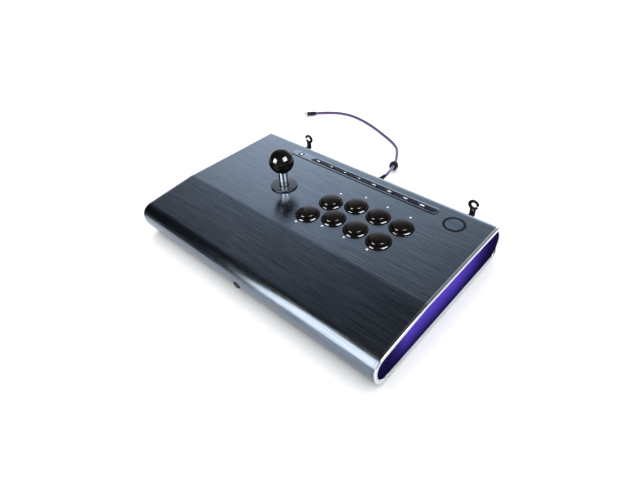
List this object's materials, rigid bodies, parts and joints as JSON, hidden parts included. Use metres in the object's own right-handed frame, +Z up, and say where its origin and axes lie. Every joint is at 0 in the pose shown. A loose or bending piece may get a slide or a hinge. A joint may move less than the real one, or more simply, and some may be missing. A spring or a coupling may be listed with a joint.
{
  "type": "arcade joystick panel",
  "caption": "Tabletop arcade controller: brushed aluminium case with a sloped palm rest, purple side panels, ball-top lever, push buttons, function-key bar, rear hooks and a braided cord.",
  "frame": {"origin": "on the resting surface under the rubber pad, below the middle of the object's plan without its cord", "axes": "+X to the player's right along the case, +Y to the rear, +Z up"},
  "size_m": [0.4915, 0.4731, 0.1146],
  "materials": {
    "case_metal": "brushed along its length and anodised gunmetal",
    "polished_metal": "diamond-cut bright bevel",
    "purple_panel": "gloss",
    "gloss_black": "polished",
    "satin_black": "satin",
    "chrome": "mirror",
    "steel": "zinc plated",
    "rubber": "matt",
    "pale_plastic": "semi-gloss",
    "circuit_board": "solder mask",
    "washer_grey": "semi-gloss",
    "purple_braid": "woven sleeve"
  },
  "bodies": {
    "root": {"case_shell": "case_metal", "base_plate": "steel", "base_pad": "rubber", "base_screw_1": "steel", "base_screw_2": "steel", "base_screw_3": "steel", "base_screw_4": "steel", "right_edge_trim": "polished_metal", "left_edge_trim": "polished_metal", "right_side_panel": "purple_panel", "left_side_panel": "purple_panel", "function_bar": "gloss_black", "function_board": "circuit_board", "mounting_plate": "steel", "lever_housing": "satin_black", "switch_board": "circuit_board", "restrictor_gate": "satin_black", "button_housing_1": "gloss_black", "button_housing_2": "gloss_black", "button_housing_3": "gloss_black", "button_housing_4": "gloss_black", "button_housing_5": "gloss_black", "button_housing_6": "gloss_black", "button_housing_7": "gloss_black", "button_housing_8": "gloss_black", "main_board": "circuit_board", "headset_jack": "satin_black", "cord_socket": "satin_black", "rear_hook_right": "satin_black", "rear_hook_left": "satin_black", "cord": "purple_braid", "cord_plug": "satin_black", "cord_clip": "satin_black", "cord_end_plug": "satin_black"},
    "pivot": {"pivot_ball": "pale_plastic"},
    "lever": {"ball_top": "gloss_black", "shaft_cover": "chrome", "lever_shaft": "steel", "actuator": "pale_plastic", "return_spring": "steel", "retaining_clip": "steel"},
    "dust_slider": {"lower_dust_washer": "satin_black"},
    "dust_washer": {"dust_washer": "washer_grey"},
    "home_key": {"home_key": "pale_plastic"},
    "function_key_1": {"function_key_1": "gloss_black"},
    "function_key_2": {"function_key_2": "gloss_black"},
    "function_key_3": {"function_key_3": "gloss_black"},
    "function_key_4": {"function_key_4": "gloss_black"},
    "function_key_5": {"function_key_5": "gloss_black"},
    "function_key_6": {"function_key_6": "gloss_black"},
    "function_key_7": {"function_key_7": "gloss_black"},
    "function_key_8": {"function_key_8": "gloss_black"},
    "button_1": {"button_cap_1": "gloss_black"},
    "button_2": {"button_cap_2": "gloss_black"},
    "button_3": {"button_cap_3": "gloss_black"},
    "button_4": {"button_cap_4": "gloss_black"},
    "button_5": {"button_cap_5": "gloss_black"},
    "button_6": {"button_cap_6": "gloss_black"},
    "button_7": {"button_cap_7": "gloss_black"},
    "button_8": {"button_cap_8": "gloss_black"}
  },
  "joints": [
    {"name": "lever_fore_aft", "type": "hinge", "parent": "root", "child": "pivot", "pos_m": [-0.073, 0.0093, 0.0369], "axis": [-1, 0, 0], "range_deg": [-8, 8], "stiffness_Nm_per_rad": 0.35},
    {"name": "lever_side", "type": "hinge", "parent": "pivot", "child": "lever", "pos_m": [-0.073, 0.0093, 0.0369], "axis": [0, 1, 0], "range_deg": [-8, 8], "stiffness_Nm_per_rad": 0.35},
    {"name": "dust_slide_side", "type": "slide", "parent": "root", "child": "dust_slider", "axis": [1, 0, 0], "range_m": [-0.0031, 0.0031]},
    {"name": "dust_slide_fore_aft", "type": "slide", "parent": "dust_slider", "child": "dust_washer", "axis": [0, 1, 0], "range_m": [-0.0031, 0.0031]},
    {"name": "home_key_press", "type": "slide", "parent": "root", "child": "home_key", "axis": [0, 0, -1], "range_m": [0, 0.0006], "stiffness_N_per_m": 1500, "springref_m": -0.0006},
    {"name": "function_key_1_press", "type": "slide", "parent": "root", "child": "function_key_1", "axis": [0, 0, -1], "range_m": [0, 0.0006], "stiffness_N_per_m": 1500, "springref_m": -0.0006},
    {"name": "function_key_2_press", "type": "slide", "parent": "root", "child": "function_key_2", "axis": [0, 0, -1], "range_m": [0, 0.0006], "stiffness_N_per_m": 1500, "springref_m": -0.0006},
    {"name": "function_key_3_press", "type": "slide", "parent": "root", "child": "function_key_3", "axis": [0, 0, -1], "range_m": [0, 0.0006], "stiffness_N_per_m": 1500, "springref_m": -0.0006},
    {"name": "function_key_4_press", "type": "slide", "parent": "root", "child": "function_key_4", "axis": [0, 0, -1], "range_m": [0, 0.0006], "stiffness_N_per_m": 1500, "springref_m": -0.0006},
    {"name": "function_key_5_press", "type": "slide", "parent": "root", "child": "function_key_5", "axis": [0, 0, -1], "range_m": [0, 0.0006], "stiffness_N_per_m": 1500, "springref_m": -0.0006},
    {"name": "function_key_6_press", "type": "slide", "parent": "root", "child": "function_key_6", "axis": [0, 0, -1], "range_m": [0, 0.0006], "stiffness_N_per_m": 1500, "springref_m": -0.0006},
    {"name": "function_key_7_press", "type": "slide", "parent": "root", "child": "function_key_7", "axis": [0, 0, -1], "range_m": [0, 0.0006], "stiffness_N_per_m": 1500, "springref_m": -0.0006},
    {"name": "function_key_8_press", "type": "slide", "parent": "root", "child": "function_key_8", "axis": [0, 0, -1], "range_m": [0, 0.0006], "stiffness_N_per_m": 1500, "springref_m": -0.0006},
    {"name": "button_1_press", "type": "slide", "parent": "root", "child": "button_1", "axis": [0, 0, -1], "range_m": [0, 0.003], "stiffness_N_per_m": 250, "springref_m": -0.002},
    {"name": "button_2_press", "type": "slide", "parent": "root", "child": "button_2", "axis": [0, 0, -1], "range_m": [0, 0.003], "stiffness_N_per_m": 250, "springref_m": -0.002},
    {"name": "button_3_press", "type": "slide", "parent": "root", "child": "button_3", "axis": [0, 0, -1], "range_m": [0, 0.003], "stiffness_N_per_m": 250, "springref_m": -0.002},
    {"name": "button_4_press", "type": "slide", "parent": "root", "child": "button_4", "axis": [0, 0, -1], "range_m": [0, 0.003], "stiffness_N_per_m": 250, "springref_m": -0.002},
    {"name": "button_5_press", "type": "slide", "parent": "root", "child": "button_5", "axis": [0, 0, -1], "range_m": [0, 0.003], "stiffness_N_per_m": 250, "springref_m": -0.002},
    {"name": "button_6_press", "type": "slide", "parent": "root", "child": "button_6", "axis": [0, 0, -1], "range_m": [0, 0.003], "stiffness_N_per_m": 250, "springref_m": -0.002},
    {"name": "button_7_press", "type": "slide", "parent": "root", "child": "button_7", "axis": [0, 0, -1], "range_m": [0, 0.003], "stiffness_N_per_m": 250, "springref_m": -0.002},
    {"name": "button_8_press", "type": "slide", "parent": "root", "child": "button_8", "axis": [0, 0, -1], "range_m": [0, 0.003], "stiffness_N_per_m": 250, "springref_m": -0.002}
  ],
  "couplings": [
    {"joint": "dust_slide_side", "follows": "lever_side", "m_per_rad": 0.021},
    {"joint": "dust_slide_fore_aft", "follows": "lever_fore_aft", "m_per_rad": 0.021}
  ]
}
